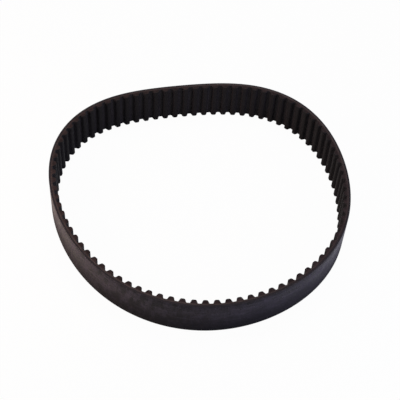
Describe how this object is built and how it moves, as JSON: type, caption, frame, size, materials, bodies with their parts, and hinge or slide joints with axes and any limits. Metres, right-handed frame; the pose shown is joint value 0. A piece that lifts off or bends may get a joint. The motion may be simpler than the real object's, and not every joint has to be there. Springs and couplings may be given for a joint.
{
  "type": "timing belt",
  "caption": "Endless moulded timing belt with rounded teeth on the inside and a smooth ground back, lying in its free loop on one cut edge.",
  "frame": {"origin": "middle of the loop's outer box, on the level of the lower cut edge", "axes": "+Z across the belt's width, upwards; +X along the loop's longest span; +Y across it"},
  "size_m": [0.3932, 0.371, 0.055],
  "materials": {
    "backing_rubber": "matt ground rubber",
    "cord": "treated glass cord, cut edge",
    "tooth_rubber": "matt cut rubber",
    "facing_fabric": "rubbed black nylon weave"
  },
  "bodies": {
    "root": {"backing": "backing_rubber", "tension_cords": "cord", "tooth_cores": "tooth_rubber", "tooth_facing": "facing_fabric"}
  },
  "joints": []
}
